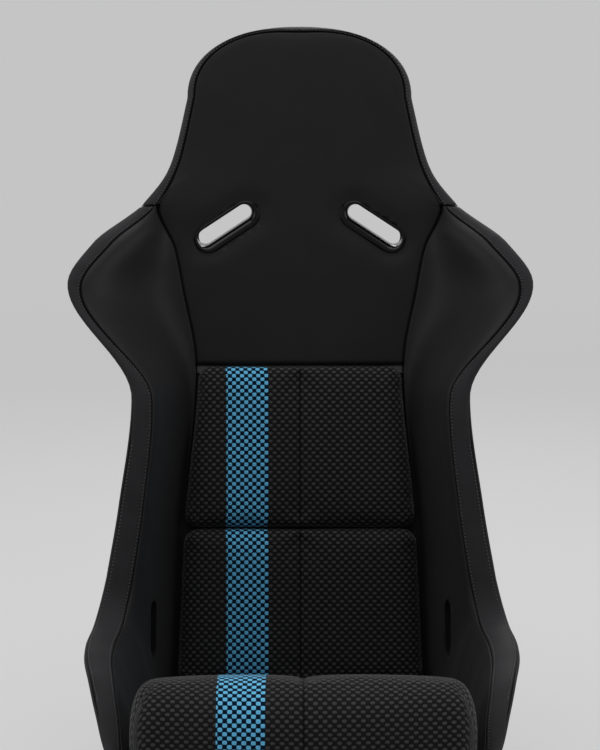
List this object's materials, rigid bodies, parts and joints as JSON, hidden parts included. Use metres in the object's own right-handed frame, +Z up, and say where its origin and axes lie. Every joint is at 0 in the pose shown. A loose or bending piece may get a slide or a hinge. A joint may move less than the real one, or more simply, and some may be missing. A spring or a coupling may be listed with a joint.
{
  "type": "fixed-back racing seat",
  "caption": "Fixed-back bucket racing seat: moulded shell, leather bolsters and head panel, harness and lap belt slots, lift-out checked cloth pads and seat cushion.",
  "frame": {"origin": "on the flat underside of the shell, on the centre plane, midway between the front and rear side mounts", "axes": "+X to the viewer's right when facing the seat, -Y the way the seat faces, +Z up"},
  "size_m": [0.5622, 0.6198, 0.8932],
  "materials": {
    "shell_gelcoat": "gloss",
    "edge_trim": "satin",
    "foam": "matte",
    "check_cloth": "woven",
    "leather": "satin",
    "leather_band": "satin",
    "bezel": "gloss",
    "backing": "matte",
    "screw": "satin",
    "insert": "satin",
    "tape": "matte",
    "board": "matte",
    "base_cloth": "matte"
  },
  "bodies": {
    "seat": {"shell": "shell_gelcoat", "edge_trim": "edge_trim", "head_foam": "foam", "wing_foam_left": "foam", "wing_foam_right": "foam", "hip_foam_left": "foam", "hip_foam_right": "foam", "thigh_foam_left": "foam", "thigh_foam_right": "foam", "pan_liner": "foam", "back_liner": "foam", "head_cover": "leather", "head_band": "leather_band", "inner_cover_left": "leather", "inner_cover_right": "leather", "side_band_left": "leather_band", "side_band_right": "leather_band", "outer_cover_left": "leather", "outer_cover_right": "leather", "slot_bezel_left": "bezel", "slot_bezel_right": "bezel", "slot_backing_left": "backing", "slot_backing_right": "backing", "backing_screws": "screw", "side_inserts": "insert", "upper_hook_tape": "tape", "lower_hook_tape": "tape", "seat_hook_tape": "tape"},
    "upper_pad": {"upper_pad_cover": "check_cloth", "upper_pad_foam": "foam", "upper_pad_board": "board", "upper_pad_loop": "tape"},
    "lower_pad": {"lower_pad_cover": "check_cloth", "lower_pad_foam": "foam", "lower_pad_board": "board", "lower_pad_loop": "tape"},
    "seat_cushion": {"cushion_cover": "check_cloth", "cushion_foam": "foam", "cushion_base": "base_cloth", "cushion_loop": "tape"}
  },
  "joints": [
    {"name": "upper_pad_lift", "type": "slide", "parent": "seat", "child": "upper_pad", "axis": [0, -0.9848, 0.1736], "range_m": [0, 0.18]},
    {"name": "lower_pad_lift", "type": "slide", "parent": "seat", "child": "lower_pad", "axis": [0, -0.9848, 0.1736], "range_m": [0, 0.18]},
    {"name": "cushion_lift", "type": "slide", "parent": "seat", "child": "seat_cushion", "axis": [0, -0.7071, 0.7071], "range_m": [0, 0.25]}
  ]
}
